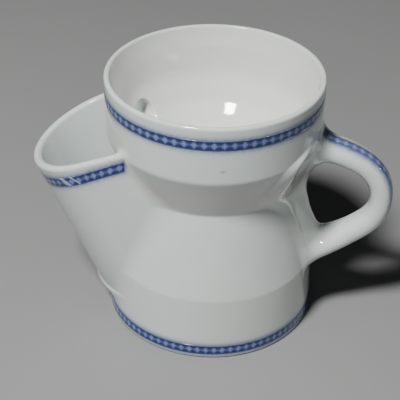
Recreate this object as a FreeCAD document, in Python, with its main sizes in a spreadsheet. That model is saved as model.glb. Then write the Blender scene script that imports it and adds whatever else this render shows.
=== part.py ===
import FreeCAD, Part
import math
import os
import Sketcher
from FreeCAD import Placement, Rotation, Vector

# Scuttle shaving mug in glazed earthenware, millimetres, +Z up.
# The origin is on the axis of the round body at the surface it stands on.
# The handle points to +X and the scuttle spout to -X.
SIZES = {
    # round body, outside
    "zero": 0.0,
    "rim_height": 98.2,
    "rim_radius": 39.2,
    "collar_height": 76.3,
    "collar_radius": 38.9,
    "waist_height": 58.5,
    "waist_radius": 31.6,
    "shoulder_height": 25.5,
    "shoulder_radius": 38.2,
    "foot_radius": 38.9,
    # soap bowl, inside
    "rim_wall": 2.4,
    "bowl_side_height": 80.0,
    "bowl_side_radius": 35.3,
    "bowl_turn_height": 68.5,
    "bowl_turn_radius": 31.4,
    "bowl_low_height": 64.0,
    "bowl_low_radius": 25.0,
    "bowl_floor_height": 62.2,
    "bowl_floor_radius": 15.0,
    "drain_radius": 4.8,
    "drain_height": 70.8,
    "drain_turn": 26.5,
    # hot-water pot, inside
    "pot_wall": 3.5,
    "step_radius": 35.2,
    "step_height": 7.0,
    # base disc, let in above the foot ring
    "base_low": 2.5,
    "base_thick": 4.0,
    # scuttle spout: half-round nose, sides run back into the round body
    "spout_low_height": 8.0,
    "spout_low_nose": 42.0,
    "spout_low_half": 26.0,
    "spout_high_height": 90.0,
    "spout_high_nose": 80.3,
    "spout_high_half": 29.0,
    "spout_back": 4.0,
    "spout_root_half": 29.5,
    "spout_wall": 3.2,
    "spout_floor": 3.5,
    "mouth_reach": 30.0,
    "mouth_height": 77.5,
    "mouth_fall": 22.8,
    # handle: an oval strap on three arcs, and the fan that fills the waist behind it
    "strap_half_width": 6.3,
    "strap_half_thick": 4.2,
    "strap_top_turn": 28.0,
    "strap_top_radius": 40.0,
    "strap_front_turn": 110.0,
    "strap_front_radius": 16.4,
    "strap_low_turn": 22.0,
    "strap_low_radius": 75.0,
    "strap_start_reach": 34.6,
    "strap_start_height": 72.8,
    "web_width": 10.0,
    "fan_reach": 34.6,
    "fan_half": 5.0,
    "fan_root": 17.0,
    "fan_root_half": 24.0,
    "fan_low": 33.0,
    "fan_tall": 40.0,
    # printed borders, let in flush with the glaze
    "print_deep": 0.3,
    "print_high": 3.7,
    "rim_print_low": 89.7,
    "foot_print_low": 1.8,
    "spout_print_drop": 2.9,
    "spout_print_fall": 25.8,
    "print_gap": 1.2,
    "print_start": 0.34,
    "print_end": 0.42,
    "strap_print_width": 4.6,
    "strip_deep": 0.8,
    # rounding of the glazed edges
    "lip_round": 1.0,
    "crease_round": 4.0,
    "foot_round": 0.8,
}

# Named points of the web that joins the strap to the waist, in its own plane: (reach, height).
WEB_POINTS = {
    "web_top_root": (30.0, 72.0),
    "web_top": (44.0, 71.0),
    "web_top_hole": (46.5, 66.2),
    "web_high": (36.3, 59.5),
    "web_low": (36.8, 42.5),
    "web_low_hole": (43.0, 36.6),
    "web_foot": (42.0, 32.0),
    "web_low_root": (30.0, 27.0),
}
# Stretches of the web's outline: from a point, to a point, and where an arc passes between them.
WEB_OUTLINE = [
    ("web_top_root", "web_top", None),
    ("web_top", "web_top_hole", None),
    ("web_top_hole", "web_high", (40.0, 64.4)),
    ("web_high", "web_low", (34.9, 50.8)),
    ("web_low", "web_low_hole", (38.9, 38.4)),
    ("web_low_hole", "web_foot", None),
    ("web_foot", "web_low_root", None),
    ("web_low_root", "web_top_root", None),
]

TALL = 200.0
ALONG_X = Rotation(Vector(0, 1, 0), 90)

for point, (reach, height) in WEB_POINTS.items():
    SIZES[point + "_x"] = reach
    SIZES[point + "_z"] = height

FINISHED = []
doc = FreeCAD.newDocument("scuttle_mug")


# ---------------------------------------------------------------- sheet and helpers
def make_sheet():
    sheet = doc.addObject("Spreadsheet::Sheet", "sizes")
    for row, (alias, size) in enumerate(SIZES.items(), start=1):
        sheet.set("A%d" % row, alias)
        sheet.set("B%d" % row, str(size))
        sheet.setAlias("B%d" % row, alias)
    doc.recompute()
    return sheet


def number(formula):
    """The value of a sum of aliases such as "rim_radius - rim_wall"."""
    total = 0.0
    sign = 1.0
    for word in formula.split():
        if word in "+-":
            sign = 1.0 if word == "+" else -1.0
        else:
            total += sign * SIZES[word]
    return total


def bound(formula):
    """The same sum as an expression on the sheet."""
    return " ".join(word if word in "+-" else "sizes." + word for word in formula.split())


def bind(item, prop, formula):
    item.setExpression(prop, bound(formula))


def new_body(name):
    return doc.addObject("PartDesign::Body", name)


def origin_plane(body, role):
    return next(f for f in body.Origin.OriginFeatures if f.Role == role)


def new_sketch(body, name, role):
    sketch = body.newObject("Sketcher::SketchObject", name)
    sketch.AttachmentSupport = [(origin_plane(body, role), "")]
    sketch.MapMode = "FlatFace"
    return sketch


def bind_end(sketch, line, corner, along, up):
    """Ties one end of a line or arc to the sheet, with a positive or a zero distance each way."""
    for kind, formula in (("DistanceX", along), ("DistanceY", up)):
        index = sketch.addConstraint(Sketcher.Constraint(kind, -1, 1, line, corner, number(formula)))
        sketch.setExpression("Constraints[%d]" % index, bound(formula))


def arc_outline(sketch, stretches):
    """A closed outline of lines and arcs between named points of the sheet."""
    for start, end, via in stretches:
        first = Vector(SIZES[start + "_x"], SIZES[start + "_z"], 0)
        last = Vector(SIZES[end + "_x"], SIZES[end + "_z"], 0)
        stretch = Part.LineSegment(first, last) if via is None else Part.Arc(first, Vector(*via, 0), last)
        line = sketch.addGeometry(stretch)
        swapped = sketch.getPoint(line, 1).distanceToPoint(first) > 0.001
        corners = (2, 1) if swapped else (1, 2)
        bind_end(sketch, line, corners[0], start + "_x", start + "_z")
        bind_end(sketch, line, corners[1], end + "_x", end + "_z")


def closed_outline(sketch, corners):
    """A closed outline of straight lines whose corners are (along, up) formulas."""
    points = [Vector(number(a), number(u), 0) for a, u in corners]
    count = len(points)
    for index in range(count):
        sketch.addGeometry(Part.LineSegment(points[index], points[(index + 1) % count]))
    for index in range(count):
        sketch.addConstraint(Sketcher.Constraint("Coincident", index, 2, (index + 1) % count, 1))
    for index, (along, up) in enumerate(corners):
        bind_end(sketch, index, 1, along, up)


def turned_body(name, corners):
    """A body turned about Z from a half outline of (radius, height) corners."""
    body = new_body(name)
    outline = new_sketch(body, name + "_outline", "XZ_Plane")
    closed_outline(outline, corners)
    turn = body.newObject("PartDesign::Revolution", name + "_turn")
    turn.Profile = outline
    turn.ReferenceAxis = (outline, ["V_Axis"])
    turn.Angle = 360.0
    doc.recompute()
    return body


def ring_edges(shape, rings):
    """Names of the circular edges that lie at the given (radius, height) corners."""
    names = []
    for index, edge in enumerate(shape.Edges, start=1):
        if not isinstance(edge.Curve, Part.Circle):
            continue
        radius, height = edge.Curve.Radius, edge.Curve.Center.z
        if any(abs(radius - number(r)) < 0.01 and abs(height - number(h)) < 0.01 for r, h in rings):
            names.append("Edge%d" % index)
    return names


def round_rings(body, name, size, rings):
    """Rounds the circular edges at the given corners by a radius from the sheet."""
    base = body.Tip
    fillet = body.newObject("PartDesign::Fillet", name)
    fillet.Base = (base, ring_edges(base.Shape, rings))
    bind(fillet, "Radius", size)
    doc.recompute()


def cut(name, base, tool):
    result = doc.addObject("Part::Cut", name)
    result.Base = base
    result.Tool = tool
    doc.recompute()
    return result


def common(name, base, tool):
    result = doc.addObject("Part::Common", name)
    result.Base = base
    result.Tool = tool
    doc.recompute()
    return result


def fuse(name, base, tool):
    result = doc.addObject("Part::Fuse", name)
    result.Base = base
    result.Tool = tool
    doc.recompute()
    return result


def finish_part(item, label):
    item.Label = label
    FINISHED.append(item)


# ---------------------------------------------------------------- round body
def outer_form(name):
    """The solid form of the round body, used to trim what joins on to it."""
    form = turned_body(name, [
        ("zero", "zero"),
        ("foot_radius", "zero"),
        ("shoulder_radius", "shoulder_height"),
        ("waist_radius", "waist_height"),
        ("collar_radius", "collar_height"),
        ("rim_radius", "rim_height"),
        ("zero", "rim_height"),
    ])
    round_rings(form, name + "_crease", "crease_round", [("collar_radius", "collar_height")])
    return form


def make_soap_bowl():
    bowl = turned_body("bowl_body", [
        ("zero", "waist_height"),
        ("waist_radius", "waist_height"),
        ("collar_radius", "collar_height"),
        ("rim_radius", "rim_height"),
        ("rim_radius - rim_wall", "rim_height"),
        ("bowl_side_radius", "bowl_side_height"),
        ("bowl_turn_radius", "bowl_turn_height"),
        ("bowl_low_radius", "bowl_low_height"),
        ("bowl_floor_radius", "bowl_floor_height"),
        ("zero", "bowl_floor_height"),
    ])
    round_rings(bowl, "bowl_lip", "lip_round", [
        ("rim_radius", "rim_height"),
        ("rim_radius - rim_wall", "rim_height"),
    ])
    round_rings(bowl, "bowl_crease", "crease_round", [("collar_radius", "collar_height")])
    drill = doc.addObject("Part::Cylinder", "drain_drill")
    bind(drill, "Radius", "drain_radius")
    bind(drill, "Height", "rim_radius")
    turn = Rotation(Vector(0, 0, 1), 180 - SIZES["drain_turn"])
    drill.Placement = Placement(Vector(0, 0, SIZES["drain_height"]), turn * ALONG_X)
    bind(drill, "Placement.Base.z", "drain_height")
    return cut("drained_bowl", bowl, drill)


def make_pot_wall():
    pot = turned_body("pot_body", [
        ("step_radius", "zero"),
        ("foot_radius", "zero"),
        ("shoulder_radius", "shoulder_height"),
        ("waist_radius", "waist_height"),
        ("waist_radius - pot_wall", "waist_height"),
        ("shoulder_radius - pot_wall", "shoulder_height"),
        ("step_radius", "step_height"),
    ])
    round_rings(pot, "pot_foot", "foot_round", [("foot_radius", "zero")])
    return pot


def make_base_disc():
    disc = doc.addObject("Part::Cylinder", "disc_form")
    bind(disc, "Radius", "step_radius")
    bind(disc, "Height", "base_thick")
    bind(disc, "Placement.Base.z", "base_low")
    return disc


# ---------------------------------------------------------------- scuttle spout
def nose_section(body, name, height, nose, half, root):
    """One level outline of the spout: a half-round nose towards -X and straight sides behind it."""
    sketch = new_sketch(body, name, "XY_Plane")
    sketch.AttachmentOffset = Placement(Vector(0, 0, number(height)), Rotation())
    bind(sketch, "AttachmentOffset.Base.z", height)
    shoulder = number(nose) - number(half)
    wide = number(half)
    back = number("spout_back")
    deep = number(root)
    tip = number(nose)
    sketch.addGeometry(Part.Arc(Vector(-shoulder, wide, 0), Vector(-tip, 0, 0), Vector(-shoulder, -wide, 0)))
    sketch.addGeometry(Part.LineSegment(Vector(-shoulder, -wide, 0), Vector(-back, -deep, 0)))
    sketch.addGeometry(Part.LineSegment(Vector(-back, -deep, 0), Vector(-back, deep, 0)))
    sketch.addGeometry(Part.LineSegment(Vector(-back, deep, 0), Vector(-shoulder, wide, 0)))
    for index in range(4):
        sketch.addConstraint(Sketcher.Constraint("Coincident", index, 2, (index + 1) % 4, 1))
    sketch.addConstraint(Sketcher.Constraint("PointOnObject", 0, 3, -1))
    sketch.addConstraint(Sketcher.Constraint("Vertical", 2))
    measures = [
        (Sketcher.Constraint("Radius", 0, wide), half),
        (Sketcher.Constraint("DistanceX", 0, 3, -1, 1, shoulder), nose + " - " + half.replace(" - ", " + ")),
        (Sketcher.Constraint("DistanceX", 0, 1, -1, 1, shoulder), nose + " - " + half.replace(" - ", " + ")),
        (Sketcher.Constraint("DistanceX", 2, 1, -1, 1, back), "spout_back"),
        (Sketcher.Constraint("DistanceY", 2, 1, -1, 1, deep), root),
        (Sketcher.Constraint("DistanceY", -1, 1, 2, 2, deep), root),
    ]
    for constraint, formula in measures:
        index = sketch.addConstraint(constraint)
        sketch.setExpression("Constraints[%d]" % index, bound(formula))


def spout_form(name, less, raised):
    """The spout as a solid, made smaller all round by one alias and raised by another."""
    body = new_body(name)
    nose_section(body, name + "_low", "spout_low_height" + raised,
                 "spout_low_nose" + less, "spout_low_half" + less, "spout_root_half" + less)
    nose_section(body, name + "_high", "spout_high_height",
                 "spout_high_nose" + less, "spout_high_half" + less, "spout_root_half" + less)
    low, high = [item for item in body.Group if item.isDerivedFrom("Sketcher::SketchObject")]
    loft = body.newObject("PartDesign::AdditiveLoft", name + "_loft")
    loft.Profile = low
    loft.Sections = [high]
    loft.Ruled = True
    doc.recompute()
    return body


def mouth_block(name, fall, drop, tall):
    """A block whose underside slopes by the fall and passes the drop below the mouth's inner end."""
    block = doc.addObject("Part::Box", name)
    block.Length = TALL
    block.Width = TALL
    block.Height = tall
    edge = Vector(-SIZES["mouth_reach"], 0, SIZES["mouth_height"])
    tilt = Placement(edge, Rotation(Vector(0, 1, 0), -fall))
    block.Placement = tilt * Placement(Vector(-TALL / 2, -TALL / 2, -drop), Rotation())
    return block


def make_spout(form):
    outside = spout_form("spout_outside", "", "")
    inside = spout_form("spout_inside", " - spout_wall", " + spout_floor")
    open_top = cut("spout_open_top", outside, mouth_block("above_mouth", SIZES["mouth_fall"], 0.0, TALL))
    hollow = cut("spout_hollow", open_top, inside)
    return cut("spout_shell", hollow, form), inside


# ---------------------------------------------------------------- handle
def strap_line(offset):
    """The strap's line in its own plane, offset outwards: tangent arcs from the collar round to the foot.

    Gives each arc as its start, middle and end points (reach, height)."""
    reach = SIZES["strap_start_reach"]
    height = SIZES["strap_start_height"] + offset
    heading = 0.0
    arcs = []
    for part in ("strap_top", "strap_front", "strap_low"):
        radius = SIZES[part + "_radius"] + offset
        turn = math.radians(SIZES[part + "_turn"])
        centre = (reach - radius * math.sin(heading), height - radius * math.cos(heading))
        points = [(reach, height)]
        for share in (0.5, 1.0):
            angle = heading + turn * share
            points.append((centre[0] + radius * math.sin(angle), centre[1] + radius * math.cos(angle)))
        arcs.append(points)
        reach, height = points[-1]
        heading += turn
    return arcs


def make_handle(form):
    """The oval strap with the fan that fills the waist behind it, trimmed to the round body."""
    strap = new_body("strap_body")
    path = new_sketch(strap, "strap_path", "XZ_Plane")
    for points in strap_line(0.0):
        path.addGeometry(Part.Arc(*[Vector(x, z, 0) for x, z in points]))
    oval = new_sketch(strap, "strap_oval", "YZ_Plane")
    oval.AttachmentOffset = Placement(Vector(0, 0, SIZES["strap_start_reach"]), Rotation())
    bind(oval, "AttachmentOffset.Base.z", "strap_start_reach")
    centre = Vector(0, SIZES["strap_start_height"], 0)
    wide = centre + Vector(SIZES["strap_half_width"], 0, 0)
    thick = centre + Vector(0, SIZES["strap_half_thick"], 0)
    oval.addGeometry(Part.Ellipse(wide, thick, centre))
    pipe = strap.newObject("PartDesign::AdditivePipe", "strap_pipe")
    pipe.Profile = oval
    pipe.Spine = (path, ["Edge1", "Edge2", "Edge3"])
    doc.recompute()

    web = new_body("web_body")
    side = new_sketch(web, "web_side", "XZ_Plane")
    arc_outline(side, WEB_OUTLINE)
    plate = web.newObject("PartDesign::Pad", "web_pad")
    plate.Profile = side
    plate.SideType = "Symmetric"
    bind(plate, "Length", "web_width")
    doc.recompute()

    fan = new_body("fan_body")
    plan = new_sketch(fan, "fan_plan", "XY_Plane")
    plan.AttachmentOffset = Placement(Vector(0, 0, SIZES["fan_low"]), Rotation())
    bind(plan, "AttachmentOffset.Base.z", "fan_low")
    closed_outline(plan, [
        ("fan_root", "zero - fan_root_half"),
        ("fan_reach", "zero - fan_half"),
        ("fan_reach", "fan_half"),
        ("fan_root", "fan_root_half"),
    ])
    rise = fan.newObject("PartDesign::Pad", "fan_pad")
    rise.Profile = plan
    bind(rise, "Length", "fan_tall")
    doc.recompute()
    root = fuse("web_and_fan", web, fan)
    return cut("handle_shape", fuse("strap_and_web", strap, root), form)


# ---------------------------------------------------------------- printed borders
def make_rim_print(bowl):
    """The border round the collar: a thin sleeve of the bowl's own outer surface."""
    sleeve = print_sleeve("rim_sleeve", "collar_radius - print_deep", "rim_radius + print_deep", "rim_print_low")
    return cut("bowl_less_print", bowl, sleeve), common("rim_print_ring", bowl, sleeve)


def make_foot_print(pot):
    """The border round the foot: a thin sleeve of the pot's own outer surface."""
    sleeve = print_sleeve("foot_sleeve", "foot_radius - print_deep - print_deep", "foot_radius + print_deep",
                          "foot_print_low")
    return cut("pot_less_print", pot, sleeve), common("foot_print_ring", pot, sleeve)


def print_sleeve(name, inner, outer, low):
    return turned_body(name, [
        (inner, low),
        (outer, low),
        (outer, low + " + print_high"),
        (inner, low + " + print_high"),
    ])


def make_spout_print(spout):
    """The border below the mouth of the spout: a thin skin of the spout's own outer surface."""
    core = spout_form("spout_print_core", " - print_deep", "")
    low = SIZES["spout_print_drop"] + SIZES["print_high"]
    block = mouth_block("below_lip", SIZES["spout_print_fall"], low, SIZES["print_high"])
    band = common("spout_band", spout, block)
    clear = doc.addObject("Part::Cylinder", "clear_of_collar")
    bind(clear, "Radius", "collar_radius + print_gap")
    clear.Height = TALL
    skin = cut("spout_skin", cut("spout_band_skin", band, core), clear)
    return cut("spout_less_print", spout, skin), skin


def make_handle_print(handle):
    """The border along the top of the strap, from near the collar to its outermost stretch."""
    outer = strap_line(SIZES["strap_half_thick"])
    top = print_strip(outer[0], SIZES["print_start"], 1.0)
    front = print_strip(outer[1], 0.0, SIZES["print_end"])
    strip = doc.addObject("Part::Feature", "strap_strip")
    strip.Shape = top.fuse(front).removeSplitter()
    return cut("handle_less_print", handle, strip), common("handle_print_strip", handle, strip)


def print_strip(points, start, end):
    """A strip astride an arc of the strap's outline, over a share of the arc, as wide as the print."""
    arc = Part.Arc(*[Vector(x, 0, z) for x, z in points]).toShape()
    low, high = arc.ParameterRange
    share = [low + (high - low) * start, low + (high - low) * end]
    edges = []
    for offset in (-SIZES["strip_deep"], SIZES["print_deep"]):
        circle = Part.Circle(arc.Curve)
        circle.Radius += offset
        edges.append(circle.toShape(*share))
    closing = [Part.makeLine(edges[0].valueAt(turn), edges[1].valueAt(turn)) for turn in share]
    face = Part.Face(Part.Wire(Part.__sortEdges__(edges + closing)))
    wide = SIZES["strap_print_width"]
    face.translate(Vector(0, -wide / 2, 0))
    return face.extrude(Vector(0, wide, 0))


# ---------------------------------------------------------------- assembly
def check_document():
    doc.recompute()
    for item in doc.Objects:
        if {"Invalid", "Error"} & set(item.State):
            raise RuntimeError("%s failed: %s" % (item.Name, item.State))
    for item in FINISHED:
        shape = item.Shape
        if shape.isNull() or not shape.isValid() or not shape.Solids:
            raise RuntimeError("%s has no valid solid" % item.Label)


def export_parts():
    os.makedirs("parts", exist_ok=True)
    for item in FINISHED:
        item.Shape.exportStep("parts/%s.step" % item.Label)
        box = item.Shape.BoundBox
        print("%-14s solids %d volume %9.1f  x %6.1f %6.1f  y %6.1f %6.1f  z %6.1f %6.1f" % (
            item.Label, len(item.Shape.Solids), item.Shape.Volume,
            box.XMin, box.XMax, box.YMin, box.YMax, box.ZMin, box.ZMax))


def main():
    form = outer_form("round_form")
    bowl = make_soap_bowl()
    spout, spout_room = make_spout(form)
    pot, foot_print = make_foot_print(make_pot_wall())
    pot = cut("pot_open_to_spout", pot, spout_room)
    handle = make_handle(form)
    bowl, rim_print = make_rim_print(bowl)
    spout, spout_print = make_spout_print(spout)
    handle, handle_print = make_handle_print(handle)
    finish_part(bowl, "soap_bowl")
    finish_part(pot, "pot_wall")
    finish_part(make_base_disc(), "base_disc")
    finish_part(spout, "scuttle_spout")
    finish_part(handle, "handle")
    finish_part(rim_print, "rim_border")
    finish_part(foot_print, "foot_border")
    finish_part(spout_print, "spout_border")
    finish_part(handle_print, "handle_border")
    check_document()
    export_parts()


sheet = make_sheet()
main()
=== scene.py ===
import math

import bpy
import numpy as np
import openvdb
from mathutils import Matrix


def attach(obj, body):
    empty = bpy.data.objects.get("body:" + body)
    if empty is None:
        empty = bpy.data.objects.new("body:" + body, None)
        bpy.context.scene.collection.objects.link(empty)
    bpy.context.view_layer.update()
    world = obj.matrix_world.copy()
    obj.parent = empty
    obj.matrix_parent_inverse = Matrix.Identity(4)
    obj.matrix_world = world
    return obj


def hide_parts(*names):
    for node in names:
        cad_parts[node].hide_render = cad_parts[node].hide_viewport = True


# Shapes are worked out in millimetres in the row frame and scaled to metres when a mesh is made.
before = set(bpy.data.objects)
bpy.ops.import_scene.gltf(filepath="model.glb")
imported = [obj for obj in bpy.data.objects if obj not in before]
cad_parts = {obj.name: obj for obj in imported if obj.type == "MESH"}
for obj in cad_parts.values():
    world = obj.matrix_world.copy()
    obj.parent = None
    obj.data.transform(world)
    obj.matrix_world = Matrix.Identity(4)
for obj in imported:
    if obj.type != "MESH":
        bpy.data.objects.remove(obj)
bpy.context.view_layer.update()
MM = 0.001
GRID = 0.5
FAR = 99.0


# ---------------------------------------------------------------- flat outlines turned about Z
def rounded(corners):
    """A closed outline as short straight runs, from (radius, height, rounding) corners."""
    points = []
    count = len(corners)
    for index, (r, z, size) in enumerate(corners):
        here = np.array([r, z], float)
        before = np.array(corners[index - 1][:2], float) - here
        after = np.array(corners[(index + 1) % count][:2], float) - here
        if size == 0:
            points.append(here)
            continue
        before /= np.linalg.norm(before)
        after /= np.linalg.norm(after)
        half = math.acos(np.clip(before @ after, -1, 1)) / 2
        reach = size / math.tan(half)
        middle = (before + after) / np.linalg.norm(before + after)
        centre = here + middle * size / math.sin(half)
        start = here + before * reach - centre
        end = here + after * reach - centre
        turn = math.atan2(start[0] * end[1] - start[1] * end[0], start @ end)
        for share in np.linspace(0, 1, 9):
            c, s = math.cos(turn * share), math.sin(turn * share)
            points.append(centre + [c * start[0] - s * start[1], s * start[0] + c * start[1]])
    return np.array(points)


class Turned:
    """Signed distance to a solid turned about Z, read from a fine table of its half section."""

    STEP = 0.2
    LOW = np.array([-2.0, -8.0])
    COUNT = (430, 580)

    def __init__(self, corners):
        outline = rounded(corners)
        r = (self.LOW[0] + self.STEP * np.arange(self.COUNT[0]))[:, None]
        z = (self.LOW[1] + self.STEP * np.arange(self.COUNT[1]))[None, :]
        nearest = np.full(self.COUNT, 1e9)
        inside = np.zeros(self.COUNT, bool)
        for (r0, z0), (r1, z1) in zip(outline, np.roll(outline, -1, axis=0)):
            run, rise = r1 - r0, z1 - z0
            square = run * run + rise * rise + 1e-12
            share = np.clip(((r - r0) * run + (z - z0) * rise) / square, 0, 1)
            gap = np.hypot(r - r0 - run * share, z - z0 - rise * share)
            nearest = np.minimum(nearest, gap)
            if z0 != z1:
                crosses = (z0 > z) != (z1 > z)
                inside ^= crosses & (r < r0 + (z - z0) * run / rise)
        self.table = np.where(inside, -nearest, nearest).astype(np.float32)

    def __call__(self, radius, z):
        u = np.clip((radius - self.LOW[0]) / self.STEP, 0, self.COUNT[0] - 1.001)
        v = np.clip((z - self.LOW[1]) / self.STEP, 0, self.COUNT[1] - 1.001)
        u, v = np.broadcast_arrays(u, v)
        i, j = u.astype(np.int32), v.astype(np.int32)
        a, b = u - i, v - j
        low = self.table[i, j] * (1 - a) + self.table[i + 1, j] * a
        high = self.table[i, j + 1] * (1 - a) + self.table[i + 1, j + 1] * a
        return low * (1 - b) + high * b


# ---------------------------------------------------------------- blends
def join(a, b, size):
    """Union with a fillet of about the given size."""
    h = np.maximum(size - np.abs(a - b), 0) / size
    return np.minimum(a, b) - h * h * size / 4


def carve(a, b, size):
    """Intersection with rounded edges of about the given size."""
    return -join(-a, -b, size)


def ramp(value, low, high):
    """From 0 at low to 1 at high, easing in and out."""
    share = np.clip((value - low) / (high - low), 0, 1)
    return share * share * (3 - 2 * share)


# ---------------------------------------------------------------- round body
# Corners are (radius, height, rounding). A solid section runs on to ACROSS, past the axis. The
# wall of the pot goes up into the bowl by TENON.
RIM_TOP = 98.1
RIM_R = 39.1
COLLAR = (38.85, 76.3)
WAIST = (31.6, 58.5)
SHOULDER = (38.1, 25.5)
FOOT_R = 38.85
RING_INSIDE = 35.2
RING_TOP = 6.5
DISC_MIDDLE = 4.5
DISC_HALF = 1.9
TENON = 0.6
ACROSS = -30

form_shape = Turned([
    (ACROSS, 0, 0), (FOOT_R, 0, 0.9), (*SHOULDER, 5), (*WAIST, 0.5), (*COLLAR, 5),
    (RIM_R, RIM_TOP, 1.0), (ACROSS, RIM_TOP, 0),
])
bowl_shape = Turned([
    (ACROSS, WAIST[1], 0), (*WAIST, 0), (*COLLAR, 5), (RIM_R, RIM_TOP, 1.0),
    (37.2, RIM_TOP, 0.8), (35.9, 90, 14), (35.2, 79, 14), (31.0, 70.0, 10), (25.0, 64.2, 12),
    (15.5, 61.4, 18), (ACROSS, 61.0, 0),
])
pot_shape = Turned([
    (34.9, 0, 0.7), (FOOT_R, 0, 0.9), (*SHOULDER, 5), (*WAIST, 0.5), (WAIST[0], 60, 0),
    (28.0, 60, 0), (28.0, 58.5, 0), (34.6, 25.5, 6), (35.2, 7.5, 0), (35.6, 6, 0), (35.6, 3, 0),
])
disc_shape = Turned([
    (ACROSS, DISC_MIDDLE - DISC_HALF, 0), (35.9, DISC_MIDDLE - DISC_HALF, 0),
    (35.9, DISC_MIDDLE + DISC_HALF, 0), (ACROSS, DISC_MIDDLE + DISC_HALF, 0),
])


# ---------------------------------------------------------------- scuttle spout
# Pairs are (at SPOUT_LOW, SPOUT_SPAN above it). The nose leans out and widens by NOSE_LEAN and
# NOSE_FLARE for each millimetre of height.
SPOUT_LOW = 8.0
SPOUT_HALF = (26.0, 29.0)
SPOUT_NOSE = (42.0, 80.3)
SPOUT_SPAN = 82.0
NOSE_LEAN = 0.4305
NOSE_FLARE = 0.0366
SPOUT_BACK = 4.0
SPOUT_ROOT = 29.5
SPOUT_WALL = 3.1
SPOUT_FLOOR = 11.5
SPOUT_LIP = 1.5
SPOUT_FILLET = 2.5
ROOM_FILLET = 3.0
MOUTH = (30.0, 77.4)
MOUTH_SLOPE = 0.42
MOUTH_TRUE = math.sqrt(1 + MOUTH_SLOPE ** 2)


def spout_half(z):
    """Half the spout's width, which is also the radius of its nose."""
    return SPOUT_HALF[0] + (z - SPOUT_LOW) * (SPOUT_HALF[1] - SPOUT_HALF[0]) / SPOUT_SPAN


def spout_shoulder(z):
    """How far out, towards -X, the half-round nose has its centre."""
    slope = (SPOUT_NOSE[1] - SPOUT_HALF[1] - SPOUT_NOSE[0] + SPOUT_HALF[0]) / SPOUT_SPAN
    return SPOUT_NOSE[0] - SPOUT_HALF[0] + (z - SPOUT_LOW) * slope


def spout_side(x, y, z):
    """Distance out from the spout's outer wall, which has no top or bottom here."""
    half, shoulder = spout_half(z), spout_shoulder(z)
    out = -x - shoulder
    round_part = np.hypot(out, y)
    lean = (out / np.maximum(round_part, 1e-6)) * NOSE_LEAN + NOSE_FLARE
    nose = (round_part - half) / np.sqrt(1 + lean * lean)
    share = np.clip(-out / (shoulder - SPOUT_BACK), 0, 1.3)
    flat = np.abs(y) - half - (SPOUT_ROOT - half) * share
    return np.where(out > 0, nose, flat)


def mouth_plane(x, z):
    """Distance up from the slanting plane of the lip."""
    return (z - MOUTH[1] + MOUTH_SLOPE * (-x - MOUTH[0])) / MOUTH_TRUE


def spout_shell(x, y, z):
    """The spout's wall and floor, with a rolled lip."""
    side = spout_side(x, y, z)
    wall = np.abs(side + SPOUT_WALL / 2) - SPOUT_WALL / 2
    top = mouth_plane(x, z)
    p, q = wall + SPOUT_LIP, top + SPOUT_LIP
    rolled = np.hypot(np.maximum(p, 0), np.maximum(q, 0))
    shell = rolled + np.minimum(np.maximum(p, q), 0) - SPOUT_LIP
    floor = np.maximum(side, z - SPOUT_FLOOR)
    shell = join(shell, floor, SPOUT_FILLET)
    return np.maximum(carve(shell, SPOUT_LOW - z, SPOUT_FILLET), x + SPOUT_BACK)


def spout_room(x, y, z):
    """The space inside the spout, from its floor up through the mouth."""
    room = carve(spout_side(x, y, z) + SPOUT_WALL, SPOUT_FLOOR - z, ROOM_FILLET)
    return np.maximum(room, x + SPOUT_BACK)


# ---------------------------------------------------------------- handle
STRAP_START = (34.6, 72.7)
STRAP_ARCS = ((28.0, 40.0), (110.0, 16.4), (22.0, 75.0))


def strap_points():
    """The middle line of the strap in its own plane, as (x, z) points, from (turn, radius) arcs."""
    x, z = STRAP_START
    heading = 0.0
    line = [(x, z)]
    for turn, radius in STRAP_ARCS:
        turn = math.radians(turn)
        cx, cz = x - radius * math.sin(heading), z - radius * math.cos(heading)
        for share in np.linspace(0, 1, 25)[1:]:
            angle = heading + turn * share
            line.append((cx + radius * math.sin(angle), cz + radius * math.cos(angle)))
        x, z = line[-1]
        heading += turn
    return np.array(line)


STRAP = strap_points()
STRAP_RUN = np.concatenate([[0], np.cumsum(np.hypot(*np.diff(STRAP, axis=0).T))])
STRAP_END = STRAP_RUN[-1]
STRAP_HALF = ((0, 9, 20, 45, STRAP_END - 22, STRAP_END - 8, STRAP_END),
              (7.2, 6.4, 6.0, 5.9, 6.2, 8.6, 9.5))
STRAP_THICK = ((0, 6, 20, 50, STRAP_END - 16, STRAP_END - 4, STRAP_END),
               (5.2, 4.5, 4.12, 4.12, 4.2, 4.6, 4.8))
STRAP_SQUARE = 0.35
STRAP_BACK = 4.1
LOOP_MIDDLE = (46.5, 52.0)


def strap_at(along):
    """The point of the middle line at a distance along it."""
    return np.interp(along, STRAP_RUN, STRAP[:, 0]), np.interp(along, STRAP_RUN, STRAP[:, 1])


def strap_near(x, z):
    """Distance from the strap's middle line and how far along it, in the strap's own plane."""
    x, z = np.broadcast_arrays(x, z)
    best = np.full(x.shape, 1e9, np.float32)
    along = np.zeros(x.shape, np.float32)
    for index in range(len(STRAP) - 1):
        (x0, z0), (x1, z1) = STRAP[index], STRAP[index + 1]
        run, rise = x1 - x0, z1 - z0
        span = math.hypot(run, rise)
        share = np.clip(((x - x0) * run + (z - z0) * rise) / (span * span), 0, 1)
        gap = np.hypot(x - x0 - run * share, z - z0 - rise * share)
        closer = gap < best
        best = np.where(closer, gap, best)
        along = np.where(closer, STRAP_RUN[index] + share * span, along)
    return best, along


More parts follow.
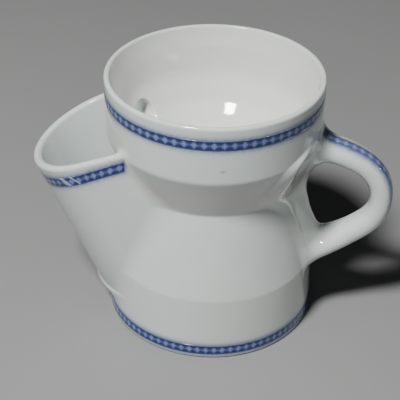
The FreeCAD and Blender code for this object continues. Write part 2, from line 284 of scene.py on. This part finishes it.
def strap(x, y, z):
    """An even strap that flares where it meets the body. Its section lies between an oval and a
    squarer one."""
    gap, along = strap_near(x, z)
    half, thick = np.interp(along, *STRAP_HALF), np.interp(along, *STRAP_THICK)
    p, q = gap / thick, np.abs(y) / half
    square = p ** 4 * STRAP_SQUARE + q ** 4 * STRAP_SQUARE
    level = np.sqrt(np.sqrt(square + (p * p + q * q) ** 2 * (1 - STRAP_SQUARE)))
    steep = np.sqrt((p / thick) ** 2 + (q / half) ** 2)
    return level * (level - 1) / np.maximum(steep, 0.06)


def eased(pairs, blur=2.2):
    """A table of (height, value) pairs drawn as one smooth curve."""
    heights = np.arange(-20, 121, 0.5)
    plain = np.interp(heights, *zip(*pairs))
    weight = np.exp(-(np.arange(-16, 17) * 0.5 / blur) ** 2 / 2)
    return heights, np.convolve(np.pad(plain, 16, mode="edge"), weight / weight.sum(), "valid")


# The web by height: the body's radius under it, how far it spreads to each side, how wide the roll
# at its edge is, and how thick it is at the roll and in the middle.
WEB_BASE = eased([
    (0, FOOT_R), SHOULDER[::-1], WAIST[::-1], COLLAR[::-1], (RIM_TOP, RIM_R),
], 4.0)
WEB_REACH = eased([
    (22, 9), (33, 11.5), (40, 12.5), (48, 14), (54, 16.5), (58, 21), (62, 25.5), (66, 27.5),
    (74, 27.5), (78, 25), (80, 20), (82, 13), (84, 8),
])
WEB_ROLL = eased([(30, 1.5), (50, 1.7), (58, 4.0), (63, 5.2), (68, 4.6), (76, 2.6), (82, 1.8)])
WEB_EDGE = eased([
    (22, -2), (27, 0.6), (40, 1.0), (54, 0.9), (60, 1.0), (66, 1.8), (74, 2.0), (79, 1.3),
    (82, 0.2), (84, -2),
])
WEB_MIDDLE = eased([
    (20, -2), (24, 0.4), (28, 1.8), (33, 4.4), (38, 4.2), (41, 3.1), (44, 2.3), (52, 1.8),
    (59.5, 2.6), (66, 3.2), (72, 2.6), (78, 1.0), (82, -2),
], 1.5)
WEB_SPAN = (18, 88)
WEB_RIDGE = 8.0
WEB_DISH = 0.3
WEB_FILLET = 1.2


def web(radius, y, z):
    """The clay that fills the waist behind the strap and spreads over the body as a raised fan:
    thick in the middle, dished to both sides, and ending in a roll."""
    side = np.abs(y)
    reach, roll = np.interp(z, *WEB_REACH), np.interp(z, *WEB_ROLL)
    edge, middle = np.interp(z, *WEB_EDGE), np.interp(z, *WEB_MIDDLE)
    crest = np.exp(-((side - reach + roll) / (0.75 * roll)) ** 2)
    ridge = np.exp(-(side / WEB_RIDGE) ** 2)
    deep = middle * ridge + edge * (WEB_DISH + (1 - WEB_DISH) * crest)
    pad = carve((radius - np.interp(z, *WEB_BASE) - deep) * 0.95, (side - reach) * 0.8, WEB_FILLET)
    return np.maximum(pad, np.maximum(WEB_SPAN[0] - z, z - WEB_SPAN[1]))


# ---------------------------------------------------------------- whole mug
# The spout and the handle run FUSE_SPOUT and FUSE_HANDLE into the body. Where the body runs on
# under them, it lies UNDER lower.
DRAIN_TURN = math.radians(153.5)
DRAIN_Z = 70.8
DRAIN_R = 4.6
DRAIN_SPAN = (20, 42)
FUSE_SPOUT = 1.2
FUSE_HANDLE = 0.9
UNDER = 0.05
FILLETS = {"waist": 0.4, "pot_to_spout": 1.2, "spout": 2.2, "fan": 5.0, "handle": 1.4, "drain": 0.9}


def drain(x, y, z):
    """The drill of the drain hole, which goes through the side of the bowl towards the spout."""
    c, s = math.cos(DRAIN_TURN), math.sin(DRAIN_TURN)
    out, side = c * x + s * y, -s * x + c * y
    ends = np.maximum(DRAIN_SPAN[0] - out, out - DRAIN_SPAN[1])
    return np.maximum(np.hypot(side, z - DRAIN_Z) - DRAIN_R, ends)


def mug_and_joints(x, y, z):
    """Signed distance to the whole glazed mug, and to the spout's and the handle's side of their
    joints with the body (negative on their side)."""
    radius = np.hypot(x, y)
    form = form_shape(radius, z)
    bowl = bowl_shape(radius, z)
    room = spout_room(x, y, z)
    pot = carve(pot_shape(radius, z), -room, FILLETS["pot_to_spout"])
    body = np.minimum(join(bowl, pot, FILLETS["waist"]), disc_shape(radius, z))
    shell = np.maximum(spout_shell(x, y, z), -(form + FUSE_SPOUT))
    body = join(body, shell, FILLETS["spout"])
    fan = np.maximum(web(radius, y, z), -(form + FUSE_HANDLE))
    fan = np.where(x > 0, fan, FAR)
    bar = np.maximum(strap(x, y, z), -(form + FUSE_HANDLE))
    hold = join(bar, fan, FILLETS["fan"])
    body = join(body, hold, FILLETS["handle"])
    at_spout, at_handle = np.maximum(shell - form, x), np.maximum(hold - form, -x)
    return carve(body, -drain(x, y, z), FILLETS["drain"]), at_spout, at_handle


def mug(x, y, z):
    """Signed distance to the whole glazed mug."""
    return mug_and_joints(x, y, z)[0]


# ---------------------------------------------------------------- meshes
LOW = np.array([-69.5, -42.0, -2.5])
HIGH = np.array([69.5, 42.0, 101.0])
SLAB = 24
SKIN_DEPTH = 3.0
COUNTS = np.ceil((HIGH - LOW) / GRID).astype(int) + 1
AXES = [(LOW[a] + GRID * np.arange(COUNTS[a])).astype(np.float32) for a in range(3)]


def grid_fields():
    """The mug's distance and its joints on the whole grid, worked out slab by slab."""
    fields = [np.empty(COUNTS, np.float32) for _ in range(3)]
    for start in range(0, COUNTS[0], SLAB):
        x = AXES[0][start:start + SLAB, None, None]
        slabs = mug_and_joints(x, AXES[1][None, :, None], AXES[2][None, None, :])
        for field, slab in zip(fields, slabs):
            field[start:start + SLAB] = slab
    return fields


def skin(field):
    """Points and quads of the zero surface of a field on the grid."""
    grid = openvdb.FloatGrid(SKIN_DEPTH)
    near = np.clip(field, -SKIN_DEPTH, SKIN_DEPTH)
    grid.copyFromArray(np.ascontiguousarray(near, dtype=np.float64))
    points, _, quads = grid.convertToPolygons(0.0, 0.0)
    return np.asarray(points, float) * GRID + LOW, np.asarray(quads)


def slope_at(points, shape, step=0.05):
    """A shape's distance at each point, and which way and how fast it grows."""
    x, y, z = points.T
    slope = np.stack([
        shape(x + step, y, z) - shape(x - step, y, z),
        shape(x, y + step, z) - shape(x, y - step, z),
        shape(x, y, z + step) - shape(x, y, z - step),
    ], axis=1) / (2 * step)
    return shape(x, y, z), slope


def settle(points, shape, most, rounds=3):
    """Moves points on to a shape's surface, and leaves alone those that are further from it."""
    start = points.copy()
    for _ in range(rounds):
        here, slope = slope_at(points, shape)
        here = np.where(np.abs(here) > most, 0, here)
        size = np.maximum((slope ** 2).sum(axis=1), 0.2)
        points = points - slope * (here / size)[:, None]
        shift = points - start
        length = np.linalg.norm(shift, axis=1, keepdims=True)
        points = start + shift * np.minimum(1, most / np.maximum(length, 1e-9))
    return points


def mesh_object(name, points, faces, material):
    """A smooth mesh with one material, riding on the mug's only body."""
    mesh = bpy.data.meshes.new(name)
    mesh.from_pydata((points * MM).tolist(), [], [list(map(int, f)) for f in faces])
    mesh.validate()
    mesh.update()
    mesh.polygons.foreach_set("use_smooth", np.ones(len(mesh.polygons), bool))
    mesh.materials.append(material)
    piece = bpy.data.objects.new(name, mesh)
    bpy.context.collection.objects.link(piece)
    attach(piece, "root")
    return piece


def outward(points, faces):
    """The faces, turned over if their normals point inwards."""
    a, b, c = (points[faces[:, k]] for k in range(3))
    d = points[faces[:, -1]]
    volume = (a * np.cross(b, c)).sum() + (a * np.cross(c, d)).sum()
    return faces if volume > 0 else faces[:, ::-1]


def clay_piece(name, field, shape, material):
    """A closed piece of the mug where the field is below zero, smoothed by the shape's slope."""
    points, quads = skin(field)
    points = settle(points, shape, 0.4 * GRID)
    quads = outward(points, quads)
    piece = mesh_object(name, points, quads, material)
    slope = slope_at(points, shape)[1]
    slope /= np.maximum(np.linalg.norm(slope, axis=1, keepdims=True), 1e-6)
    piece.data.normals_split_custom_set_from_vertices(slope.tolist())
    flow = piece.data.attributes.new("flow", "FLOAT", "POINT")
    flow.data.foreach_set("value", ink_flow(name, points).astype(np.float32))
    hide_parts(name)


# ---------------------------------------------------------------- printed borders
# BAND is the width of every border but the handle's. RIM_BAND and FOOT_BAND are heights of low
# edges, and SPOUT_BAND is how far the top edge lies below the lip.
BAND = 3.7
RIM_BAND = 89.7
FOOT_BAND = 1.8
SPOUT_BAND = 2.9
SPOUT_BAND_SLOPE = math.tan(math.radians(25.8))
SPOUT_BAND_TRUE = math.sqrt(1 + SPOUT_BAND_SLOPE ** 2)
SPOUT_END = 26.6
STRAP_BAND = (4.6, 43.0)
STRAP_BAND_SIDES = (-3.3, 0.9)
BAND_ROWS = 9
BAND_PROUD = 0.045
BAND_DEEP = 0.3
NO_INK = 9.0
INK_REACH = 1.15


def above_print(x, z):
    """Distance up from the top edge of the spout's border, which falls faster than the lip."""
    rise = z - MOUTH[1] + SPOUT_BAND_SLOPE * (-x - MOUTH[0])
    return rise / SPOUT_BAND_TRUE + SPOUT_BAND


def ink_flow(name, points):
    """How strongly the blue has bled into the glaze round a border, from 0 to 1."""
    x, y, z = points.T
    if name == "soap_bowl":
        gap = np.abs(z - RIM_BAND - BAND / 2) - BAND / 2
        gap = np.where(np.hypot(x, y) > RIM_R - 0.6, gap, NO_INK)
    elif name == "pot_wall":
        gap = np.abs(z - FOOT_BAND - BAND / 2) - BAND / 2
        gap = np.where(np.hypot(x, y) > FOOT_R - 0.85, gap, NO_INK)
    elif name == "scuttle_spout":
        gap = np.abs(above_print(x, z) + BAND / 2) - BAND / 2
        gap = np.maximum(gap, SPOUT_END + x)
        gap = np.where(spout_side(x, y, z) > -0.8, gap, NO_INK)
    elif name == "handle":
        reach, along = strap_near(x, z)
        near_x, near_z = strap_at(along)
        side_x = (x - near_x) * (near_x - LOOP_MIDDLE[0])
        outside = side_x + (z - near_z) * (near_z - LOOP_MIDDLE[1]) > 0
        gap = np.maximum(STRAP_BAND_SIDES[0] - y, y - STRAP_BAND_SIDES[1])
        gap = np.maximum(gap, np.maximum(STRAP_BAND[0] - along, along - STRAP_BAND[1]))
        gap = np.where(outside & (reach > 2.5), gap, NO_INK)
    else:
        gap = np.full(len(x), NO_INK)
    return np.exp(-(np.maximum(gap, 0) / INK_REACH) ** 1.5)


def band_piece(name, node, middle, closed, cells, material):
    """A thin strip let into the surface, from a grid of points (along, across) on or near it. The
    map runs from 0 to the number of cells along it, and from 0 to 1 across."""
    rows, columns = middle.shape[:2]
    flat = settle(middle.reshape(-1, 3), mug, 2.5, 5)
    slope = slope_at(flat, mug)[1]
    slope /= np.linalg.norm(slope, axis=1, keepdims=True)
    points = np.concatenate([flat + slope * BAND_PROUD, flat - slope * BAND_DEEP])
    half = rows * columns
    faces = []
    spans = rows if closed else rows - 1
    for i in range(spans):
        j = (i + 1) % rows
        for k in range(columns - 1):
            a, b = i * columns + k, j * columns + k
            c, d = b + 1, a + 1
            faces.append((a, b, c, d))
            faces.append((a + half, d + half, c + half, b + half))
        for k, flip in ((0, False), (columns - 1, True)):
            a, b = i * columns + k, j * columns + k
            face = (a, a + half, b + half, b)
            faces.append(face[::-1] if flip else face)
    if not closed:
        for i, flip in ((0, True), (rows - 1, False)):
            for k in range(columns - 1):
                a, b = i * columns + k, i * columns + k + 1
                face = (a, a + half, b + half, b)
                faces.append(face[::-1] if flip else face)
    faces = outward(points, np.array(faces))
    piece = mesh_object(name, points, faces, material)
    layer = piece.data.uv_layers.new(name="UVMap")
    for polygon in piece.data.polygons:
        rim = [v % half // columns for v in polygon.vertices]
        wraps = closed and max(rim) - min(rim) > 1
        for loop, vertex in zip(polygon.loop_indices, polygon.vertices):
            row, column = vertex % half // columns, vertex % columns
            if wraps and row == 0:
                row = rows
            layer.data[loop].uv = (cells * row / spans, column / (columns - 1))
    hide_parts(node)


def ring_band(low, radius):
    """Points round the body, from a height up to the width of a border above it."""
    turns = np.linspace(0, 2 * math.pi, 361)[:-1]
    heights = np.linspace(low, low + BAND, BAND_ROWS)
    points = np.empty((len(turns), len(heights), 3))
    points[..., 0] = radius * np.cos(turns)[:, None]
    points[..., 1] = radius * np.sin(turns)[:, None]
    points[..., 2] = heights[None, :]
    return points


def spout_band():
    """Points round the nose of the spout, between two levels below the mouth."""
    rows = []
    drops = SPOUT_BAND + np.linspace(BAND, 0, BAND_ROWS)
    shares = np.linspace(0, 1, 18)
    ways = [("side", share, 1) for share in shares[:-1]]
    ways += [("nose", math.radians(turn), 1) for turn in np.linspace(-90, 90, 91)]
    ways += [("side", share, -1) for share in shares[::-1][1:]]
    for kind, value, sign in ways:
        row = []
        for drop in drops:
            # The height and the spout's width there depend on each other, so they take turns.
            z = 70.0
            for _ in range(12):
                half, shoulder = spout_half(z), spout_shoulder(z)
                if kind == "nose":
                    out, y = shoulder + half * math.cos(value), -half * math.sin(value)
                else:
                    out = SPOUT_END + (shoulder - SPOUT_END) * value
                    back = (shoulder - out) / (shoulder - SPOUT_BACK)
                    y = sign * (half + (SPOUT_ROOT - half) * back)
                z = MOUTH[1] - SPOUT_BAND_SLOPE * (out - MOUTH[0]) - drop * SPOUT_BAND_TRUE
            row.append((-out, y, z))
        rows.append(row)
    return np.array(rows)


def strap_band():
    """Points along the back of the strap."""
    rows = []
    for along in np.linspace(*STRAP_BAND, 71):
        x, z = strap_at(along)
        x1, z1 = strap_at(along + 0.2)
        step = math.hypot(x1 - x, z1 - z)
        x, z = x - (z1 - z) / step * STRAP_BACK, z + (x1 - x) / step * STRAP_BACK
        rows.append([(x, y, z) for y in np.linspace(*STRAP_BAND_SIDES[::-1], BAND_ROWS)])
    return np.array(rows)


# ---------------------------------------------------------------- materials
class Nodes:
    """Short calls for building a material's node tree."""

    def __init__(self, name):
        self.material = bpy.data.materials.new(name)
        self.material.use_nodes = True
        self.tree = self.material.node_tree
        self.shader = self.tree.nodes["Principled BSDF"]

    def put(self, socket, value):
        if isinstance(value, bpy.types.NodeSocket):
            self.tree.links.new(value, socket)
        else:
            socket.default_value = value

    def node(self, kind, inputs=None, **settings):
        node = self.tree.nodes.new(kind)
        for key, value in settings.items():
            setattr(node, key, value)
        for key, value in (inputs or {}).items():
            self.put(node.inputs[key], value)
        return node

    def math(self, operation, a, b=0.0):
        node = self.node("ShaderNodeMath", operation=operation)
        for socket, value in zip(node.inputs, (a, b)):
            self.put(socket, value)
        return node.outputs[0]

    def mix(self, share, a, b):
        node = self.node("ShaderNodeMix", data_type="RGBA")
        self.put(node.inputs[0], share)
        self.put(node.inputs[6], a)
        self.put(node.inputs[7], b)
        return node.outputs[2]

    def step(self, value, low, high, bottom=0.0, top=1.0):
        node = self.node("ShaderNodeMapRange", interpolation_type="SMOOTHSTEP")
        for socket, item in zip(node.inputs, (value, low, high, bottom, top)):
            self.put(socket, item)
        return node.outputs[0]

    def vector(self, operation, a, b=(0, 0, 0)):
        node = self.node("ShaderNodeVectorMath", {0: a, 1: b}, operation=operation)
        return node.outputs["Value" if operation == "LENGTH" else "Vector"]

    def noise(self, where, scale, detail=2.0, rough=0.5):
        inputs = {"Vector": where, "Scale": scale, "Detail": detail, "Roughness": rough}
        return self.node("ShaderNodeTexNoise", inputs).outputs["Fac"]


GLAZE = (0.675, 0.735, 0.72, 1)
GLAZE_WARM = (0.705, 0.73, 0.70, 1)
GLAZE_CLOUD = (0.60, 0.62, 0.60, 1)
BOWL_GLAZE = (0.745, 0.74, 0.715, 1)
SPECK = (0.30, 0.28, 0.24, 1)
SMUDGE = (0.30, 0.31, 0.29, 1)
SMUDGE_PLACE = (0.0088, -0.0380, 0.0815)
BARE_PALE = (0.66, 0.60, 0.50, 1)
BARE_DARK = (0.50, 0.44, 0.36, 1)
COBALT = (0.016, 0.030, 0.120, 1)
COBALT_DARK = (0.008, 0.015, 0.080, 1)
DIAMOND = (0.16, 0.22, 0.50, 1)
DIAMOND_MIDDLE = (0.24, 0.30, 0.56, 1)
BLEED = (0.085, 0.125, 0.31, 1)
FADED = (0.42, 0.44, 0.66, 1)
STREAK_PALE = (0.48, 0.53, 0.70, 1)
FLOOR = (0.25, 0.25, 0.247, 1)
FLOOR_PALE = (0.265, 0.265, 0.262, 1)


def glaze_surface(n, where, colour):
    """The gloss, faint waviness and small faults that all glazed surfaces share."""
    wave = n.noise(where, 55.0, 2.0, 0.45)
    fine = n.noise(where, 420.0, 3.0, 0.55)
    pits = n.node("ShaderNodeTexVoronoi", {"Vector": where, "Scale": 95.0, "Randomness": 1.0})
    pit = {"Vector": pits.outputs["Position"]}
    rare = n.node("ShaderNodeTexWhiteNoise", pit, noise_dimensions="3D")
    speck = n.math("MULTIPLY", n.step(pits.outputs["Distance"], 0.035, 0.075, 1.0, 0.0),
                   n.math("GREATER_THAN", rare.outputs["Value"], 0.965))
    colour = n.mix(n.math("MULTIPLY", speck, 0.35), colour, SPECK)
    height = n.math("ADD", wave, n.math("MULTIPLY", fine, 0.05))
    height = n.math("SUBTRACT", height, n.math("MULTIPLY", speck, 0.25))
    bump = n.node("ShaderNodeBump", {"Strength": 0.35, "Distance": 0.0006, "Height": height})
    n.put(n.shader.inputs["Base Color"], colour)
    n.put(n.shader.inputs["Normal"], bump.outputs["Normal"])
    n.put(n.shader.inputs["Roughness"], n.step(fine, 0.3, 0.7, 0.06, 0.11))
    n.shader.inputs["IOR"].default_value = 1.5
    n.shader.inputs["Coat Weight"].default_value = 0.35
    n.shader.inputs["Coat Roughness"].default_value = 0.03


def glaze_colour(n, where):
    """Off-white glaze that pools a little cooler and warmer from place to place."""
    broad = n.noise(where, 22.0, 3.0, 0.5)
    tint = n.mix(n.step(broad, 0.35, 0.68), GLAZE, GLAZE_WARM)
    split = n.node("ShaderNodeSeparateXYZ", {"Vector": where})
    radius = n.vector("LENGTH", n.vector("MULTIPLY", where, (1, 1, 0)))
    in_bowl = n.math("MULTIPLY", n.step(radius, 0.0362, 0.0378, 1.0, 0.0),
                     n.step(split.outputs["Z"], 0.058, 0.064))
    tint = n.mix(in_bowl, tint, BOWL_GLAZE)
    cloud = n.noise(where, 130.0, 3.0, 0.6)
    return n.mix(n.step(cloud, 0.35, 0.75, 0.0, 0.10), tint, GLAZE_CLOUD)


def white_glaze(name):
    """The glaze of the bowl, spout and handle, with the blue bled into it and a small smudge."""
    n = Nodes(name)
    where = n.node("ShaderNodeTexCoord").outputs["Object"]
    flow = n.node("ShaderNodeAttribute", attribute_name="flow").outputs["Fac"]
    ragged = n.math("MULTIPLY", flow, n.step(n.noise(where, 700.0, 2.0), 0.25, 0.7, 0.72, 1.0))
    colour = n.mix(n.math("MULTIPLY", ragged, 0.95), glaze_colour(n, where), BLEED)
    off = n.vector("SUBTRACT", where, SMUDGE_PLACE)
    away = n.vector("LENGTH", n.vector("MULTIPLY", off, (0.6, 1.0, 1.0)))
    colour = n.mix(n.step(away, 0.0003, 0.0009, 0.55, 0.0), colour, SMUDGE)
    glaze_surface(n, where, colour)
    return n.material


def foot_glaze(name):
    """As the glaze, but the foot ring's standing edge is wiped bare and is a little rough."""
    n = Nodes(name)
    where = n.node("ShaderNodeTexCoord").outputs["Object"]
    height = n.node("ShaderNodeSeparateXYZ", {"Vector": where}).outputs["Z"]
    height = n.math("ADD", height, n.math("MULTIPLY", n.noise(where, 300.0), 0.0005))
    bare = n.step(height, 0.0004, 0.0009, 1.0, 0.0)
    flow = n.node("ShaderNodeAttribute", attribute_name="flow").outputs["Fac"]
    colour = n.mix(n.math("MULTIPLY", flow, 0.85), glaze_colour(n, where), BLEED)
    colour = n.mix(bare, colour, n.mix(n.noise(where, 700.0), BARE_PALE, BARE_DARK))
    glaze_surface(n, where, colour)
    roughness = n.shader.inputs["Roughness"]
    gloss = roughness.links[0].from_socket
    n.put(roughness, n.math("ADD", gloss, n.math("MULTIPLY", bare, 0.5)))
    return n.material


def transfer(name, cells, fade_ends=False, streaks=()):
    """A printed border of pale diamonds on cobalt, one to a cell, bled into the glaze. Streaks are
    (cell, width) places where paler slanting stripes are drawn across the print."""
    n = Nodes(name)
    where = n.node("ShaderNodeTexCoord").outputs["Object"]
    uv = n.node("ShaderNodeUVMap", uv_map="UVMap").outputs["UV"]
    split = n.node("ShaderNodeSeparateXYZ", {"Vector": uv})
    jitter = n.math("SUBTRACT", n.noise(where, 600.0, 2.0), 0.5)
    u = n.math("ADD", split.outputs["X"], n.math("MULTIPLY", jitter, 0.18))
    v = n.math("ADD", split.outputs["Y"], n.math("MULTIPLY", jitter, 0.05))
    p = n.math("SUBTRACT", n.math("FRACT", u), 0.5)
    q = n.math("MULTIPLY", n.math("SUBTRACT", v, 0.5), 2.0)
    p_size, q_size = n.math("ABSOLUTE", p), n.math("ABSOLUTE", q)
    diamond = n.math("ADD", n.math("DIVIDE", p_size, 0.50), n.math("DIVIDE", q_size, 0.95))
    pale = n.step(diamond, 0.45, 1.10, 1.0, 0.0)
    square = n.math("ADD", n.math("MULTIPLY", n.math("MULTIPLY", p, p), 14.0),
                    n.math("MULTIPLY", q, q))
    centre = n.step(n.math("SQRT", square), 0.10, 0.42, 1.0, 0.0)
    string = n.math("MULTIPLY", n.step(q_size, 0.05, 0.40, 1.0, 0.0),
                    n.step(p_size, 0.30, 0.5, 0.0, 0.50))
    worn = n.step(n.noise(where, 260.0, 3.0), 0.32, 0.72, 0.75, 1.0)
    ink = n.mix(n.math("MULTIPLY", n.math("MAXIMUM", pale, string), worn), COBALT, DIAMOND)
    ink = n.mix(n.math("MULTIPLY", centre, 0.75), ink, DIAMOND_MIDDLE)
    edge = n.step(q_size, 0.45, 0.75, 0.0, 1.0)
    dots = n.math("MAXIMUM", n.step(p_size, 0.12, 0.40, 0.1, 1.0), n.step(q, 0.3, 0.6, 0.0, 0.8))
    ink = n.mix(n.math("MULTIPLY", edge, dots), ink, COBALT_DARK)
    soft = n.step(n.math("ADD", q_size, n.math("MULTIPLY", jitter, 0.25)), 0.72, 1.05, 0.0, 1.0)
    base = glaze_colour(n, where)
    colour = n.mix(soft, ink, n.mix(0.95, base, BLEED))
    if fade_ends:
        share = n.math("DIVIDE", split.outputs["X"], float(cells))
        gone = n.math("MAXIMUM", n.step(share, 0.0, 0.04, 0.6, 0.0),
                      n.step(share, 0.72, 1.0, 0.0, 0.8))
        colour = n.mix(0.20, colour, FADED)
        colour = n.mix(gone, colour, n.mix(0.45, base, BLEED))
    for spot, wide in streaks:
        lean = n.math("ADD", split.outputs["X"], n.math("MULTIPLY", q, 0.45))
        gap = n.math("ABSOLUTE", n.math("SUBTRACT", lean, spot))
        colour = n.mix(n.step(gap, wide * 0.3, wide * 1.2, 0.8, 0.0), colour, STREAK_PALE)
    glaze_surface(n, where, colour)
    return n.material


def plain_floor(name):
    """A matt floor with hardly any tone of its own."""
    n = Nodes(name)
    where = n.node("ShaderNodeTexCoord").outputs["Object"]
    tone = n.step(n.noise(where, 3.0, 4.0), 0.3, 0.7)
    n.put(n.shader.inputs["Base Color"], n.mix(tone, FLOOR, FLOOR_PALE))
    n.shader.inputs["Roughness"].default_value = 0.85
    return n.material


# ---------------------------------------------------------------- build
CELL = 3.35
FOOT_CELL = 3.05
STRAP_CELLS = 13
# Paler slanting stripes drawn across the spout's border near the front of its nose, as (share along
# it, width in cells).
PALE_STREAKS = ((0.79, 0.38), (0.83, 0.16))

# Places and sizes of the stage, the lights and the camera are in metres.
FLOOR_R = 4.0
WORLD_COLOUR = (0.92, 0.95, 1.0, 1)
WORLD_STRENGTH = 0.02
LIGHT_AIM = np.array([0, 0, 0.05])
LIGHTS = (
    ("key", (-0.20, -0.44, 0.88), 0.18, 15.0, (0.98, 1.0, 0.985)),
    ("side", (0.85, -0.49, 0.27), 0.05, 0.4, (0.98, 0.99, 1.0)),
)
CAMERA_PLACE = (0.05195, -0.36715, 0.29556)
CAMERA_TURN = math.radians(10)
CAMERA_TILT = math.radians(33.58)
CAMERA_ROLL = 0.007
CAMERA_LENS = 107.49
CAMERA_SHIFT = (0.0543, -0.0313)


def under_joints(at_spout, at_handle):
    """How much lower the body lies where it runs on under the spout or the handle."""
    return UNDER * ramp(-np.minimum(at_spout, at_handle), 0.1, 0.5)


def under_bowl(z):
    """How much lower the pot's wall lies where it runs on inside the foot of the bowl."""
    return UNDER * ramp(z, WAIST[1], WAIST[1] + 0.3)


def body_shape(x, y, z):
    """The mug, but a little smaller under the spout and the handle."""
    field, at_spout, at_handle = mug_and_joints(x, y, z)
    return field + under_joints(at_spout, at_handle)


def pot_body_shape(x, y, z):
    """As body_shape, but a little smaller inside the foot of the bowl too."""
    return body_shape(x, y, z) + under_bowl(z)


def build_clay():
    """The five clay pieces, cut out of the one field of the whole mug."""
    field, at_spout, at_handle = grid_fields()
    x, y, z = AXES[0][:, None, None], AXES[1][None, :, None], AXES[2][None, None, :]
    glaze = white_glaze("white_glaze_nodes")
    foot = foot_glaze("foot_glaze_nodes")
    body = np.maximum(field + under_joints(at_spout, at_handle),
                      -np.minimum(at_spout, at_handle) - FUSE_SPOUT)
    pot = np.maximum(body + under_bowl(z), z - WAIST[1] - TENON)
    in_ring = np.hypot(x, y) - RING_INSIDE
    pot = np.where((z < RING_TOP) & (in_ring < 0), np.maximum(pot, -in_ring), pot)
    disc = np.maximum(np.maximum(body, in_ring - 0.2), np.abs(z - DISC_MIDDLE) - DISC_HALF)
    clay_piece("soap_bowl", np.maximum(body, WAIST[1] - z), body_shape, glaze)
    clay_piece("pot_wall", pot, pot_body_shape, foot)
    clay_piece("base_disc", disc, mug, foot)
    clay_piece("scuttle_spout", np.maximum(field, at_spout), mug, glaze)
    clay_piece("handle", np.maximum(field, at_handle), mug, glaze)


def build_borders():
    """The four printed borders, each with as many cells of its pattern as fit."""
    cells = round(2 * math.pi * RIM_R / CELL)
    look = transfer("rim_print_nodes", cells)
    band_piece("rim_print", "rim_border", ring_band(RIM_BAND, RIM_R - 0.05), True, cells, look)
    cells = round(2 * math.pi * FOOT_R / FOOT_CELL)
    look = transfer("foot_print_nodes", cells)
    band_piece("foot_print", "foot_border", ring_band(FOOT_BAND, FOOT_R - 0.05), True, cells, look)
    points = spout_band()
    length = np.linalg.norm(np.diff(points[:, BAND_ROWS // 2], axis=0), axis=1).sum()
    cells = round(length / CELL)
    look = transfer("spout_print_nodes", cells, False,
                    [(cells * share, wide) for share, wide in PALE_STREAKS])
    band_piece("spout_print", "spout_border", points, False, cells, look)
    look = transfer("handle_print_nodes", STRAP_CELLS, True)
    band_piece("handle_print", "handle_border", strap_band(), False, STRAP_CELLS, look)


def build_stage():
    """The plain floor, the faint light from all round and the two lights."""
    mesh = bpy.data.meshes.new("floor")
    turns = np.linspace(0, 2 * math.pi, 97)[:-1]
    ring = [(FLOOR_R * math.cos(turn), FLOOR_R * math.sin(turn), 0) for turn in turns]
    mesh.from_pydata(ring, [], [list(range(len(ring)))])
    mesh.materials.append(plain_floor("floor_nodes"))
    floor = bpy.data.objects.new("floor", mesh)
    bpy.context.collection.objects.link(floor)
    world = bpy.data.worlds.new("studio")
    world.use_nodes = True
    background = world.node_tree.nodes["Background"]
    background.inputs["Color"].default_value = WORLD_COLOUR
    background.inputs["Strength"].default_value = WORLD_STRENGTH
    bpy.context.scene.world = world
    for light in LIGHTS:
        area_light(*light)


def area_light(name, place, size, power, colour):
    """A round light that faces the mug."""
    light = bpy.data.lights.new(name, "AREA")
    light.shape = "DISK"
    light.size = size
    light.energy = power
    light.color = colour
    lamp = bpy.data.objects.new(name, light)
    bpy.context.collection.objects.link(lamp)
    back = np.array(place) - LIGHT_AIM
    back /= np.linalg.norm(back)
    side = np.cross([0, 0, 1], back)
    side /= np.linalg.norm(side)
    lamp.matrix_world = placed(side, np.cross(back, side), back, place)


def placed(side, up, back, place):
    """The transform of a light or a camera from its three axes and its place."""
    rows = zip(np.array([side, up, back]).T, place)
    return Matrix([[*row, at] for row, at in rows] + [[0, 0, 0, 1]])


def build_camera():
    """A long lens that looks down at the mug from the front."""
    level = math.cos(CAMERA_TILT)
    forward = np.array([-math.sin(CAMERA_TURN) * level, math.cos(CAMERA_TURN) * level,
                        -math.sin(CAMERA_TILT)])
    right = np.array([math.cos(CAMERA_TURN), math.sin(CAMERA_TURN), 0.0])
    up = np.cross(right, forward)
    across = math.cos(CAMERA_ROLL) * right + math.sin(CAMERA_ROLL) * up
    above = -math.sin(CAMERA_ROLL) * right + math.cos(CAMERA_ROLL) * up
    data = bpy.data.cameras.new("camera")
    data.sensor_width = 36.0
    data.lens = CAMERA_LENS
    data.shift_x, data.shift_y = CAMERA_SHIFT
    data.clip_start = 0.01
    camera = bpy.data.objects.new("camera", data)
    bpy.context.collection.objects.link(camera)
    camera.matrix_world = placed(across, above, -forward, CAMERA_PLACE)
    bpy.context.scene.camera = camera


build_clay()
build_borders()
build_stage()
build_camera()
